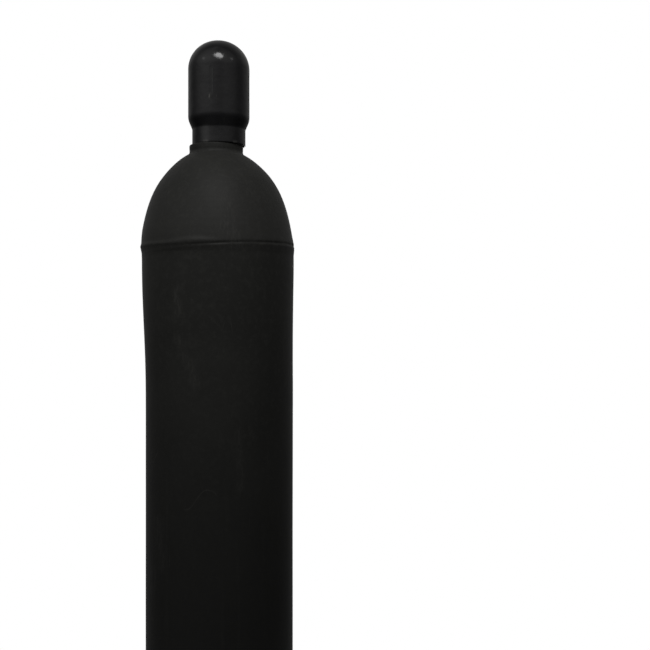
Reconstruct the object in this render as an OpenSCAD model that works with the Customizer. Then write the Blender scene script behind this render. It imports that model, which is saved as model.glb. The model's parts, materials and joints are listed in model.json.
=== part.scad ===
// Industrial compressed-gas cylinder: a seamless steel shell with a spun shoulder and neck,
// a threaded neck ring, a screwed-on valve protection cap, and the brass valve under the cap.
// Millimetres, +Z up. The origin is the centre of the foot ring, on the floor.
// The valve outlet points along +X and the pressure relief device along -X.
// Screw threads are drawn as rings of the right pitch, which clear each other.

/* [Cylinder] */
// Outside diameter of the straight body
body_d = 235; // [233:0.5:237]
// Wall thickness of the straight body
wall_t = 6.4; // [5.6:0.1:7.2]
// Height of the flat top of the neck collar
collar_z = 1352.5; // [1300:0.5:1400]
// Radius of the neck collar
collar_r = 42.7; // [42:0.1:43.5]
// How far the spun shoulder swells past the straight body
swell_t = 5; // [4:0.1:6]
// Height of the spun shoulder from its widest place to its virtual tip
shoulder_h = 178; // [170:1:185]
// Height of the hollow under the base
dish_h = 24; // [18:1:28]
// Radius of the inner edge of the flat foot ring
foot_in_r = 86; // [80:1:88]
// Width of the flat foot ring
foot_w = 8; // [5:1:10]

/* [Neck ring] */
// Outside radius of the ring's thread
ring_r = 39.6; // [39.4:0.05:39.6]
// Height of the ring
ring_h = 25.4; // [24:0.1:25.5]
// Pitch of the cap thread, 11 threads to the inch
cap_pitch = 2.309; // [2.3:0.001:2.32]

/* [Protection cap] */
// Height of the cap
cap_h = 170; // [166:0.5:175]
// Outside radius of the cap's barrel
cap_r = 49; // [48:0.1:50]
// Outside radius of the threaded skirt
skirt_r = 42.5; // [42.4:0.1:43]
// Wall thickness of the barrel
cap_t = 3.4; // [3:0.1:3.6]
// Height of the dome on top of the barrel
dome_h = 48; // [46:0.5:49]
// Width of each vent slot
vent_w = 12.6; // [10:0.1:14]
// Height of each vent slot
vent_h = 48; // [40:1:54]
// Turn of the vent slots from the front and back; at 90 they are on the sides
vent_turn = 90; // [0:1:180]

/* [Valve] */
// Radius of the plain bore that stands for the outlet's inside thread
outlet_r = 11.27; // [11:0.01:11.4]
// Depth of the outlet thread
outlet_depth = 14; // [12:0.5:15]
// Distance from the valve's axis to the outlet's mouth
outlet_reach = 34; // [33:0.5:35]
// Radius of the valve's stem
stem_r = 4.5; // [4.3:0.1:4.6]
// Lead of the seat plug's thread, 14 threads to the inch
plug_lead = 1.814; // [1.8:0.001:1.82]
// Turns of the handwheel from shut to fully open
open_turns = 2; // [1:0.5:2]

/* [Handwheel] */
// Largest diameter of the handwheel, over its lobes
wheel_d = 63; // [58:1:64]
// Thickness of the handwheel's rim
wheel_t = 11; // [9:0.5:11]
// Number of finger lobes
lobes = 7; // [5:1:9]

/* [Hidden] */
$fn = 96;
eps = 0.01; // overlap of solids that are joined
past = 1; // how far a cutting shape runs past the face that it cuts
round_fit = 0.05; // radial clearance of a shaft in its hole
slip_fit = 0.1; // clearance of parts that slide together by hand
loose_fit = 0.2; // radial clearance of a washer
face_gap = 0.3; // space between faces that slide past each other

black_paint = "#2b2b27";
gloss_black = "#232325";
brass = "#b58a3c";
steel = "#8d9092";
nylon = "#e8e4d8";
rubber = "#1c1c1c";
copper = "#b3673b";

// The shell. The straight body blends into a swollen band, which ends in a ridge under the spun shoulder.
body_r = body_d / 2;
swell_r = body_r + swell_t;
shoulder_n = 2.117; // exponent of the shoulder's curve, slightly fuller than an ellipse
tip_drop = 2.6; // from the top of the collar down to the shoulder's virtual tip
shoulder_z = collar_z - shoulder_h - tip_drop; // height of the shoulder's widest place
ridge_z = shoulder_z + 18;
band_r = body_r + 0.68 * swell_t; // just under the ridge
band_z = ridge_z - 12;
blend_z = ridge_z - 205; // where the body starts to widen
shoulder_steps = 36;
neck_r = 33; // spigot that the neck ring is pressed on
neck_z = collar_z + ring_h + 0.5; // top of the neck
peen_h = 1.6; // lip of the neck, peened out over the ring
peen_w = 1.2;
peen_z = neck_z - peen_h - peen_w; // where the lip starts to flare
peen_edge = 0.4;
collar_edge = 1;
collar_fillet = 5;
collar_slope = 30; // slope of the shoulder where the fillet leaves it
knuckle_h = 32; // height of the bend from the foot to the body
foot_out_r = foot_in_r + foot_w;
base_t = 10; // thickness of the base
foot_t = 13; // thickness above the foot ring
inner_foot_r = foot_in_r + 2; // where the inner bend starts
thread_len = 24; // length of the tapered inlet thread
thread_top_r = 13.2; // neck bore at its top
thread_low_r = 12.45;
inlet_gap = 0.3; // room for the sealing tape
throat_r = 15; // inside of the neck below the thread

// A quarter of a superellipse with half axes a and b, at the angle t.
function bow(a, b, n, t) = [a * pow(cos(t), 2 / n), b * pow(sin(t), 2 / n)];
// The angle at which that curve has the radius r, or the height z.
function bow_at_r(a, n, r) = acos(pow(r / a, n / 2));
function bow_at_z(b, n, z) = asin(pow(z / b, n / 2));
function up(points, z) = [for (p = points) [p[0], p[1] + z]];
function bow_line(a, b, n, t0, t1, steps) = [for (i = [0:steps]) bow(a, b, n, t0 + (t1 - t0) * i / steps)];
function arc(c, r, a0, a1, steps) =
    [for (i = [0:steps]) let (a = a0 + (a1 - a0) * i / steps) [c[0] + r * cos(a), c[1] + r * sin(a)]];
// A bend of width w and height h that starts level at [r, z] and ends upright.
function bend(r, z, w, h, steps) =
    [for (i = [0:steps]) let (a = 90 * i / steps) [r + w * sin(a), z + h * (1 - cos(a))]];
function backwards(points) = [for (i = [len(points) - 1:-1:0]) points[i]];
// A smooth step from 0 to 1.
function ease(u) = u * u * (3 - 2 * u);
// Ring-shaped thread ridges from z0 upwards: root, crest, root and so on.
function ridges(root, crest, z0, pitch, count) =
    [for (i = [0:count - 1]) each [[root, z0 + i * pitch], [crest, z0 + (i + 0.5) * pitch]]];

shoulder_end_r = collar_r + collar_fillet * (1 - sin(collar_slope));
shoulder_t0 = bow_at_z(shoulder_h, shoulder_n, ridge_z - shoulder_z);
shoulder_t1 = bow_at_r(swell_r, shoulder_n, shoulder_end_r);
shoulder_line = up(bow_line(swell_r, shoulder_h, shoulder_n, shoulder_t0, shoulder_t1, shoulder_steps),
    shoulder_z);
fillet_z = shoulder_line[shoulder_steps][1] + collar_fillet * cos(collar_slope);
inner_h = shoulder_h - 2 * wall_t;
inner_t0 = 4; // angle at which the inside leaves its curve for the body
inner_t1 = bow_at_r(swell_r - wall_t, shoulder_n, throat_r);

shell_outside = concat(
    bow_line(foot_in_r, dish_h, 2, 90, 0, 18),
    bend(foot_out_r, 0, body_r - foot_out_r, knuckle_h, 10),
    [for (i = [0:10]) [body_r + (band_r - body_r) * ease(i / 10), blend_z + (band_z - blend_z) * i / 10]],
    shoulder_line,
    arc([collar_r + collar_fillet, fillet_z], collar_fillet, 240, 180, 6),
    [[collar_r, collar_z - collar_edge], [collar_r - collar_edge, collar_z], [neck_r, collar_z],
     [neck_r, peen_z], [neck_r + peen_w, peen_z + peen_w], [neck_r + peen_w, neck_z - peen_edge],
     [neck_r + peen_w - peen_edge, neck_z]]);
shell_inside = concat(
    [[thread_top_r, neck_z], [thread_low_r, neck_z - thread_len]],
    up(bow_line(swell_r - wall_t, inner_h, shoulder_n, inner_t1, inner_t0, 24), shoulder_z),
    [[band_r - wall_t, band_z], [body_r - wall_t, blend_z]],
    backwards(bend(inner_foot_r, foot_t, body_r - wall_t - inner_foot_r, knuckle_h, 10)),
    up(bow_line(foot_in_r, dish_h, 2, 10, 90, 8), base_t));

// The neck ring and the cap's thread inside it.
ring_ridge = 1.2;
ring_low = collar_z + 1.2; // where the ring's thread starts
ring_top = collar_z + ring_h - 0.2;
ring_edge = 0.6;
ring_count = floor((ring_h - 3) / cap_pitch);
thread_gap = 0.3; // the cap's ridges pass the ring's with this to spare
cap_z = collar_z + 1.5; // underside of the cap, screwed home
cap_thread_r = ring_r + thread_gap;
cap_thread_root = 1.1;
cap_thread_low = 1; // height of the flare under the cap's thread
cap_thread_h = 22;
cap_edge = 0.8;

// The cap's outside: skirt, taper, barrel and dome.
skirt_h = 26;
taper_a = 22.8; // lean of the taper from upright
taper_fillet = 25;
taper_top_z = skirt_h + (cap_r - skirt_r) / tan(taper_a) + taper_fillet * tan(taper_a / 2);
dome_n = 2.1;
dome_z = cap_h - dome_h;
cap_in_r = cap_r - cap_t;
inner_fillet = taper_fillet - cap_t;
inner_taper_r = cap_r - taper_fillet + inner_fillet * cos(taper_a);
inner_taper_z = taper_top_z - inner_fillet * sin(taper_a);
inner_skirt_h = inner_taper_z - (inner_taper_r - cap_thread_r) / tan(taper_a);
cap_count = floor(cap_thread_h / cap_pitch);
vent_top = dome_z - 5; // top of the vent slots, above the cap's underside
vent_z = vent_top - vent_h;

cap_outside = concat(
    [[skirt_r - cap_edge, 0], [skirt_r, cap_edge], [skirt_r, skirt_h]],
    arc([cap_r - taper_fillet, taper_top_z], taper_fillet, -taper_a, 0, 8),
    up(bow_line(cap_r, dome_h, dome_n, 0, 90, 24), dome_z));
cap_inside = concat(
    up(bow_line(cap_in_r, dome_h - cap_t, dome_n, 90, 0, 24), dome_z),
    arc([cap_r - taper_fillet, taper_top_z], inner_fillet, 0, -taper_a, 8),
    [[cap_thread_r, inner_skirt_h], [cap_thread_r, cap_thread_low + cap_count * cap_pitch]],
    backwards(ridges(cap_thread_r, cap_thread_r + cap_thread_root, cap_thread_low, cap_pitch, cap_count)),
    [[cap_thread_r + cap_thread_low, 0]]);

// Heights inside the valve are counted from the underside of its body.
valve_z = neck_z + 1.6;
flats_h = 20; // spanner flats at the foot of the body
flats_af = 33;
flats_r = 19;
barrel_r = 15.5;
rim_r = 17.2;
rim_h = 8;
body_h = 58;
gas_r = 3.5; // inlet passage
chamber_r = 9;
chamber_floor = 24;
chamber_top = 47;
crown_h = 1.5; // raised seat
crown_w = 1.7;
bonnet_bore_r = 12.5;
outlet_z = 29;
outlet_boss_r = 15.9;
outlet_edge = 1;
relief_z = 10;
relief_boss_r = 9.5;
relief_reach = 25;
relief_floor = 15; // depth of the relief port, from the valve's axis
relief_bore_r = 6.4;
relief_hole_r = 2.6; // gas passage in the gasket and the plug
relief_gasket_t = 1;
disc_t = 0.4;
gasket_t = 1.2;
hex_z = body_h + 0.8; // underside of the bonnet's hexagon
hex_h = 9.2;
bonnet_af = 27;
pocket_r = 8.8;
pocket_top = 55.6; // ceiling of the pocket that holds the stem's collar
groove_r = 6.9;
groove_z = 59.5;
groove_h = 4.4;
oring_t = 1.1; // half the thickness of the O-ring
plug_lift = plug_lead * open_turns;
plug_top = 45;
plug_r = chamber_r - round_fit;
plug_thread_z = 33; // where the plug's thread starts
plug_ridge = 0.9;
nose_r = 7;
nose_z = chamber_floor + crown_h + 0.7;
nose_edge = 0.5;
insert_r = 5.65;
insert_top = nose_z + 2.5;
tang = [11, 3]; // width and thickness of the stem's tang
tang_low = plug_top - 5.5;
tang_slot_low = plug_top - 10.5; // floor of the plug's slot, below the tang when the plug is up
thrust_t = 1.4;
stem_collar_r = 8.2;
collar_low = plug_top + plug_lift + 1.6; // underside of the stem's collar
collar_top = 53.7;
bonnet_top = hex_z + hex_h;
washer_t = 1;
hub_z = bonnet_top + washer_t + face_gap;
hub_r = 11;
hub_top = 85;
square_af = 6.4; // the stem's drive square
square_top = 82;
spring_floor = 77;
spring_pocket_r = 8.2;
spring_r = 6.3; // to the middle of the wire
wire_r = 0.8;
spring_turns = 3.25;
spring_top = hub_top + 0.4;
stud_r = 3; // threaded end of the stem
stud_edge = 0.8;
stem_top = 94;
wheel_washer_r = 8.8;
nut_z = spring_top + 1.6;
nut_h = 5.5;
nut_af = 11.2;
wheel_low = 74;
web_t = 4.5;
web_hole_r = 3.2;
wheel_rim = 10; // width of the rim, over the lobes
lobe_r = 7.5;
lobe_h = 3.5; // how far a lobe stands out
relief_af = 15;
relief_head_h = 7;
relief_vent_r = 1.3;
head_edge = 0.1; // how far a hexagon's corners are turned off inside its flats

// Circumscribed radius of a hexagon with the width across flats af.
function hex_r(af) = af / 2 / cos(30);

// A flat washer or sleeve from z0 to z1.
module ring(inner, outer, z0, z1) {
    translate([0, 0, z0]) difference() {
        cylinder(r = outer, h = z1 - z0);
        translate([0, 0, -past]) cylinder(r = inner, h = z1 - z0 + 2 * past);
    }
}

// A hexagon with its corners turned off at both ends.
module hex_head(af, z0, h) {
    wide = af / 2 + h;
    narrow = af / 2 - head_edge;
    translate([0, 0, z0]) intersection() {
        cylinder(r = hex_r(af), h = h, $fn = 6);
        cylinder(r1 = wide, r2 = narrow, h = h + head_edge);
        cylinder(r1 = narrow, r2 = wide, h = h + head_edge);
    }
}

// A square bar along the axis.
module square_bar(af, z0, z1) {
    translate([-af / 2, -af / 2, z0]) cube([af, af, z1 - z0]);
}

// Lifts a shape drawn from the underside of the valve's body into its place.
module at_valve() {
    translate([0, 0, valve_z]) children();
}

// Lays a shape drawn upwards so that it runs out of the valve's side, along +X.
module outlet_side() {
    translate([0, 0, outlet_z]) rotate([0, 90, 0]) children();
}

// The same along -X.
module relief_side() {
    translate([0, 0, relief_z]) rotate([0, -90, 0]) children();
}

module cylinder_shell() {
    color(black_paint) rotate_extrude() polygon(concat(shell_outside, shell_inside));
}

module neck_ring() {
    root = ring_r - ring_ridge;
    inner = neck_r + round_fit;
    lip_gap = 0.2; // the ring's inner edge stays this far below the neck's lip
    color(black_paint) rotate_extrude() polygon(concat(
        [[inner, collar_z], [root, collar_z]],
        ridges(root, ring_r, ring_low, cap_pitch, ring_count),
        [[root, ring_low + ring_count * cap_pitch], [root - ring_edge, ring_top], [inner + peen_w, ring_top],
         [inner + peen_w, peen_z + peen_w - lip_gap], [inner, peen_z - lip_gap]]));
}

module vent_slot() {
    half = vent_w / 2;
    translate([0, 0, vent_z]) rotate([90, 0, 0]) linear_extrude(cap_r + past) union() {
        translate([-half, half]) square([vent_w, vent_h - vent_w]);
        translate([0, half]) circle(r = half);
        translate([0, vent_h - half]) circle(r = half);
    }
}

module protection_cap() {
    color(gloss_black) translate([0, 0, cap_z]) difference() {
        rotate_extrude() polygon(concat(cap_outside, cap_inside));
        for (side = [0, 180]) rotate([0, 0, vent_turn + side]) vent_slot();
    }
}

module valve_chamber() {
    difference() {
        translate([0, 0, chamber_floor]) cylinder(r = chamber_r, h = chamber_top - chamber_floor + eps);
        ring(gas_r, gas_r + crown_w, chamber_floor - past, chamber_floor + crown_h);
    }
}

module outlet_cut() {
    seat_h = 7;
    seat_low_r = 4.5;
    seat_ledge = 1.5;
    passage_r = 3;
    thread_x = outlet_reach - outlet_depth;
    outlet_side() {
        translate([0, 0, thread_x]) cylinder(r = outlet_r, h = outlet_depth + past);
        translate([0, 0, thread_x - seat_h])
            cylinder(r1 = seat_low_r, r2 = outlet_r - seat_ledge, h = seat_h + eps);
        translate([0, 0, chamber_r - 2 * past])
            cylinder(r = passage_r, h = thread_x - seat_h - chamber_r + 3 * past);
    }
}

module valve_body() {
    shank_z = neck_z - thread_len - valve_z;
    shank_top_r = thread_top_r - inlet_gap;
    barrel_top = body_h - rim_h + past;
    port_r = 2; // relief passage
    color(brass) at_valve() difference() {
        union() {
            translate([0, 0, shank_z])
                cylinder(r1 = thread_low_r - inlet_gap, r2 = shank_top_r, h = thread_len);
            translate([0, 0, shank_z + thread_len - eps])
                cylinder(r = shank_top_r, h = 2 * eps - shank_z - thread_len);
            intersection() {
                cylinder(r = flats_r, h = flats_h);
                square_bar(flats_af, 0, flats_h);
            }
            translate([0, 0, flats_h - eps]) cylinder(r = barrel_r, h = barrel_top - flats_h);
            translate([0, 0, body_h - rim_h]) cylinder(r = rim_r, h = rim_h);
            outlet_side() {
                cylinder(r = outlet_boss_r, h = outlet_reach - outlet_edge);
                translate([0, 0, outlet_reach - outlet_edge - eps])
                    cylinder(r1 = outlet_boss_r, r2 = outlet_boss_r - outlet_edge, h = outlet_edge + eps);
            }
            relief_side() cylinder(r = relief_boss_r, h = relief_reach);
        }
        translate([0, 0, shank_z - past])
            cylinder(r = gas_r, h = chamber_floor + crown_h - shank_z + 2 * past);
        valve_chamber();
        translate([0, 0, chamber_top]) cylinder(r = bonnet_bore_r, h = body_h);
        outlet_cut();
        relief_side() {
            cylinder(r = port_r, h = relief_floor + past);
            translate([0, 0, relief_floor]) cylinder(r = relief_bore_r, h = relief_reach);
        }
    }
}

module thread_tape() {
    skin = 0.02; // the tape stays this far from the threads
    tape_h = thread_len - 1;
    color(nylon) translate([0, 0, neck_z - thread_len]) difference() {
        cylinder(r1 = thread_low_r - skin, r2 = thread_top_r - skin, h = tape_h);
        translate([0, 0, -eps]) cylinder(
            r1 = thread_low_r - inlet_gap + skin, r2 = thread_top_r - inlet_gap + skin, h = tape_h + 2 * eps);
    }
}

module seat_plug() {
    count = floor((plug_top - plug_thread_z) / plug_lead);
    root = plug_r - plug_ridge;
    slot_w = tang[1] + 2 * slip_fit;
    color(brass) at_valve() difference() {
        rotate_extrude($fn = 64) polygon(concat(
            [[0, nose_z], [nose_r - nose_edge, nose_z], [nose_r, nose_z + nose_edge],
             [nose_r, plug_thread_z]],
            ridges(root, plug_r, plug_thread_z, plug_lead, count),
            [[root, plug_thread_z + count * plug_lead], [root, plug_top], [0, plug_top]]));
        translate([0, 0, nose_z - past]) cylinder(r = insert_r + round_fit, h = insert_top - nose_z + past);
        translate([-plug_r - past, -slot_w / 2, tang_slot_low])
            cube([2 * (plug_r + past), slot_w, plug_top - tang_slot_low + past]);
    }
}

module seat_insert() {
    low = chamber_floor + crown_h + round_fit;
    color(nylon) at_valve() translate([0, 0, low]) cylinder(r = insert_r, h = insert_top - low);
}

module stem() {
    tip_h = 1;
    color(steel) at_valve() union() {
        translate([-tang[0] / 2, -tang[1] / 2, tang_low]) cube([tang[0], tang[1], collar_low - tang_low + eps]);
        translate([0, 0, collar_low]) cylinder(r = stem_collar_r, h = collar_top - collar_low);
        translate([0, 0, collar_low]) cylinder(r = stem_r, h = hub_z - collar_low);
        square_bar(square_af, hub_z - eps, square_top);
        translate([0, 0, square_top - past]) cylinder(r = stud_r, h = stem_top - tip_h - square_top + past);
        translate([0, 0, stem_top - tip_h - eps])
            cylinder(r1 = stud_r, r2 = stud_r - stud_edge, h = tip_h + eps);
    }
}

module thrust_washer() {
    color(nylon) at_valve() ring(stem_r + loose_fit, pocket_r - face_gap, pocket_top - thrust_t, pocket_top);
}

module bonnet_gasket() {
    color(copper) at_valve()
        ring(chamber_r + face_gap, bonnet_bore_r - loose_fit, chamber_top, chamber_top + gasket_t);
}

module bonnet_nut() {
    low = chamber_top + gasket_t;
    color(brass) at_valve() difference() {
        union() {
            translate([0, 0, low]) cylinder(r = bonnet_bore_r - round_fit, h = hex_z - low + past);
            hex_head(bonnet_af, hex_z, hex_h);
        }
        translate([0, 0, low - past]) cylinder(r = pocket_r, h = pocket_top - low + past);
        translate([0, 0, low]) cylinder(r = stem_r + round_fit, h = bonnet_top);
        translate([0, 0, groove_z]) cylinder(r = groove_r, h = groove_h);
    }
}

module stem_oring() {
    middle = stem_r + round_fit + oring_t;
    color(rubber) at_valve() translate([0, 0, groove_z + oring_t]) rotate_extrude() translate([middle, 0])
        circle(r = oring_t, $fn = 32);
}

module backup_ring() {
    color(nylon) at_valve()
        ring(stem_r + round_fit, groove_r - slip_fit, groove_z + 2 * oring_t + face_gap, groove_z + groove_h);
}

module bearing_washer() {
    color(nylon) at_valve() ring(stem_r + loose_fit, hub_r - 0.5, bonnet_top, bonnet_top + washer_t);
}

module handwheel_plan() {
    circle(r = wheel_d / 2 - lobe_h);
    for (i = [0:lobes - 1]) rotate(i * 360 / lobes) translate([wheel_d / 2 - lobe_r, 0])
        circle(r = lobe_r, $fn = 48);
}

module handwheel() {
    rim_in_r = wheel_d / 2 - wheel_rim;
    hole_at = (hub_r + rim_in_r) / 2;
    color(black_paint) at_valve() difference() {
        union() {
            translate([0, 0, wheel_low]) linear_extrude(wheel_t) handwheel_plan();
            translate([0, 0, hub_z]) cylinder(r = hub_r, h = hub_top - hub_z);
        }
        ring(hub_r, rim_in_r, wheel_low + web_t, wheel_low + wheel_t + past);
        translate([0, 0, spring_floor]) cylinder(r = spring_pocket_r, h = wheel_t);
        square_bar(square_af + slip_fit, hub_z - past, hub_top);
        for (i = [0:lobes - 1]) rotate([0, 0, (i + 0.5) * 360 / lobes]) translate([hole_at, 0, wheel_low - past])
            cylinder(r = web_hole_r, h = web_t + 2 * past, $fn = 32);
    }
}

// A round wire swept along a helix, closed at both ends.
module wheel_spring() {
    sides = 10;
    per_turn = 24;
    rings = spring_turns * per_turn;
    low = spring_floor + wire_r + round_fit;
    rise = spring_top - spring_floor - 2 * (wire_r + round_fit);
    points = [for (i = [0:rings], j = [0:sides - 1])
        let (a = i * 360 / per_turn, b = j * 360 / sides, r = spring_r + wire_r * cos(b))
        [r * cos(a), r * sin(a), low + rise * i / rings + wire_r * sin(b)]];
    walls = [for (i = [0:rings - 1], j = [0:sides - 1])
        [i * sides + j, (i + 1) * sides + j, (i + 1) * sides + (j + 1) % sides, i * sides + (j + 1) % sides]];
    ends = [[for (j = [0:sides - 1]) j], [for (j = [sides - 1:-1:0]) rings * sides + j]];
    color(steel) at_valve() polyhedron(points, concat(walls, ends));
}

module wheel_washer() {
    color(steel) at_valve() ring(stud_r + loose_fit, wheel_washer_r, spring_top, nut_z);
}

module wheel_nut() {
    color(steel) at_valve() difference() {
        hex_head(nut_af, nut_z, nut_h);
        translate([0, 0, nut_z - past]) cylinder(r = stud_r + round_fit, h = nut_h + 2 * past);
    }
}

module relief_gasket() {
    color(copper) at_valve() relief_side()
        ring(relief_hole_r, relief_bore_r - loose_fit, relief_floor, relief_floor + relief_gasket_t);
}

module rupture_disc() {
    color(steel) at_valve() relief_side() translate([0, 0, relief_floor + relief_gasket_t])
        cylinder(r = relief_bore_r - loose_fit, h = disc_t);
}

module relief_plug() {
    low = relief_floor + relief_gasket_t + disc_t;
    head = relief_reach + 0.6;
    vent_at = head + 3;
    color(brass) at_valve() relief_side() difference() {
        union() {
            translate([0, 0, low]) cylinder(r = relief_bore_r - round_fit, h = head - low + past);
            hex_head(relief_af, head, relief_head_h);
        }
        translate([0, 0, low - past]) cylinder(r = relief_hole_r, h = vent_at - low + 2 * past);
        for (a = [0, 90]) rotate([0, 0, a]) translate([0, 0, vent_at]) rotate([90, 0, 0])
            cylinder(r = relief_vent_r, h = 4 * relief_af, center = true, $fn = 32);
    }
}

cylinder_shell();
neck_ring();
protection_cap();
valve_body();
thread_tape();
seat_plug();
seat_insert();
stem();
thrust_washer();
bonnet_gasket();
bonnet_nut();
stem_oring();
backup_ring();
bearing_washer();
handwheel();
wheel_spring();
wheel_washer();
wheel_nut();
relief_gasket();
rupture_disc();
relief_plug();
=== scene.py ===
"""An industrial gas cylinder with its protection cap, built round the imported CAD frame.

Metres, +Z up, in the frame of the CAD part. The valve's outlet looks along +X.
The steel shell, the cap, the neck ring, the valve's forging, the handwheel and its spring are built
here as fine meshes. The other nodes keep their CAD mesh, with turned edges and a material.
"""
import json
import math

import bmesh
import bpy
import numpy as np
from mathutils import Matrix, Vector


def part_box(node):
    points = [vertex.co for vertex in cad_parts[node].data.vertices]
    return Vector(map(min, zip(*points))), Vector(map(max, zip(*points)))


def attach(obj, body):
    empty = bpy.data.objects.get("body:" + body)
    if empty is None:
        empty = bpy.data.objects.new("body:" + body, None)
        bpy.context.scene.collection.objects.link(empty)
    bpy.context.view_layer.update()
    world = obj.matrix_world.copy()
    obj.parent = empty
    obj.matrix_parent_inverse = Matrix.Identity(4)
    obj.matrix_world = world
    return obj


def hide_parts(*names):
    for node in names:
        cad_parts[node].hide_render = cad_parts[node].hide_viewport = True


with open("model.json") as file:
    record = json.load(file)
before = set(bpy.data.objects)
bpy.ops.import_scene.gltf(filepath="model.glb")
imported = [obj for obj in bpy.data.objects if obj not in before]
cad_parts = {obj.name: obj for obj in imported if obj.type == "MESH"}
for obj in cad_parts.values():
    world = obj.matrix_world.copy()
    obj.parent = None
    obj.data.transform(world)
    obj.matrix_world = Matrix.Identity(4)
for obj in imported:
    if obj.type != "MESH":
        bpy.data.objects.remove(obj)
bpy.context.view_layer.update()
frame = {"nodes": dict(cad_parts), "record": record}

MM = 0.001
TAU = 2 * math.pi
MOUNTS = {m["name"]: m for m in frame["record"]["mounts"]}


# ---- camera

AXIS_DISTANCE = 1.598  # from the camera to the cylinder's axis
EYE = Vector((0.1704, -AXIS_DISTANCE, 1.067))


def add_camera():
    data = bpy.data.cameras.new("camera")
    data.sensor_width = 36
    data.lens = 55.1
    data.clip_start, data.clip_end = 0.05, 50
    camera = bpy.data.objects.new("camera", data)
    camera.location = EYE
    camera.rotation_euler = (math.radians(90), 0, 0)
    bpy.context.scene.collection.objects.link(camera)
    bpy.context.scene.camera = camera


add_camera()


# ---- curves and small functions

def ease(u):
    u = np.clip(u, 0, 1)
    return u * u * (3 - 2 * u)


def bell(x, width):
    """1 at x = 0, falling off over width."""
    return np.exp(-(x / width) ** 2)


def bow(a, b, n, t):
    """A quarter of a superellipse with half axes a and b, at the angles t in radians."""
    t = np.asarray(t, float)
    return np.stack([a * np.clip(np.cos(t), 0, 1) ** (2 / n), b * np.clip(np.sin(t), 0, 1) ** (2 / n)], -1)


def sweep(start, end, count):
    """Angles in radians, evenly spread from start to end degrees."""
    return np.radians(np.linspace(start, end, count))


def arc(centre, radius, start, end, steps):
    """Points of an arc in the (r, z) plane, angles in degrees."""
    a = sweep(start, end, steps + 1)
    return np.stack([centre[0] + radius * np.cos(a), centre[1] + radius * np.sin(a)], -1)


def line(start, end, steps, keep_start=True):
    points = np.linspace(start, end, steps + 1)
    return points if keep_start else points[1:]


def path(*parts):
    return np.concatenate([np.atleast_2d(np.asarray(p, float)) for p in parts])


def wave(theta, parts):
    """A smooth closed wave round the axis: a sum of (times round, amplitude, phase)."""
    return sum(a * np.cos(k * theta + p) for k, a, p in parts)


# ---- mesh making

def grid_faces(rows, columns, wrap_rows=False):
    """Quads of a grid of points numbered row by row, closed round its columns."""
    i = np.arange(rows if wrap_rows else rows - 1)[:, None]
    j = np.arange(columns)[None, :]
    i2, j2 = (i + 1) % rows, (j + 1) % columns
    corners = [i * columns + j, i * columns + j2, i2 * columns + j2, i2 * columns + j]
    return np.stack(np.broadcast_arrays(*corners), -1).reshape(-1, 4)


def polar(r, theta, z):
    """Points at the radius r, angle theta and height z, whose shapes are broadcast together."""
    return np.stack(np.broadcast_arrays(r * np.cos(theta), r * np.sin(theta), z), -1)


def moved(points, place):
    """The points, moved by a matrix."""
    matrix = np.array(place)
    return points @ matrix[:3, :3].T + matrix[:3, 3]


def edit_mesh(mesh, *steps):
    """Runs each step, a function of a bmesh, on the mesh."""
    bm = bmesh.new()
    bm.from_mesh(mesh)
    for step in steps:
        step(bm)
    bm.to_mesh(mesh)
    bm.free()


def new_object(name, points, faces):
    """A mesh object from points in millimetres, with its normals outwards."""
    mesh = bpy.data.meshes.new(name)
    mesh.from_pydata((np.asarray(points, float) * MM).tolist(), [], [tuple(int(i) for i in f) for f in faces])
    edit_mesh(mesh, lambda bm: bmesh.ops.recalc_face_normals(bm, faces=bm.faces))
    made = bpy.data.objects.new(name, mesh)
    bpy.context.scene.collection.objects.link(made)
    return made


def make_piece(name, points, faces, body, stands_for, sharp, fields=None):
    """A mesh object that rides on a CAD body. fields are point attributes that its material reads."""
    piece = new_object(name, points, faces)
    for field, values in (fields or {}).items():
        numbers = piece.data.attributes.new(field, "FLOAT", "POINT").data
        numbers.foreach_set("value", np.asarray(values, np.float32))
    return settle_piece(piece, body, stands_for, sharp)


def settle_piece(piece, body, stands_for, sharp):
    """Shades the piece with edges over sharp degrees kept, hangs it on its body and hides the CAD node that
    it stands for.
    """
    piece.data.shade_smooth()
    piece.data.set_sharp_from_angle(angle=math.radians(sharp))
    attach(piece, body)
    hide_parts(stands_for)
    return piece


def turned(profile, columns, shape=None):
    """Revolves an open (r, z) profile that starts and ends on the axis, or a closed one that doesn't meet it.

    shape(r, z, theta, row) may change the radius and height and move each point towards -X: it returns
    all three. The result is points and faces.
    """
    profile = np.asarray(profile, float)
    on_axis = profile[0, 0] < 1e-9
    ring = profile[1:-1] if on_axis else profile
    theta = np.arange(columns) * TAU / columns
    r, z, shift = ring[:, :1] + 0 * theta, ring[:, 1:] + 0 * theta, 0
    if shape:
        r, z, shift = shape(r, z, theta[None, :] + 0 * z, np.arange(len(ring))[:, None])
    points = polar(r, theta, z)
    points[..., 0] -= shift
    points = points.reshape(-1, 3)
    faces = [tuple(f) for f in grid_faces(len(ring), columns, wrap_rows=not on_axis)]
    if on_axis:
        low, high = len(points), len(points) + 1
        points = np.vstack([points, [0, 0, profile[0, 1]], [0, 0, profile[-1, 1]]])
        last = (len(ring) - 1) * columns
        for j in range(columns):
            k = (j + 1) % columns
            faces.append((low, k, j))
            faces.append((high, last + j, last + k))
    return points, faces


def thread_depth(z, theta, pitch, start, end):
    """0 at the crest of a right-hand thread and 1 at its root, fading in and out over a turn."""
    phase = (z / pitch - theta / TAU) % 1
    flank = np.clip(np.abs(phase - 0.5) * 2.6 - 0.65, 0, 1)
    fade = ease((z - start) / pitch) * ease((end - z) / pitch)
    return 1 - (1 - flank) * fade


# ---- the steel shell

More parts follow.
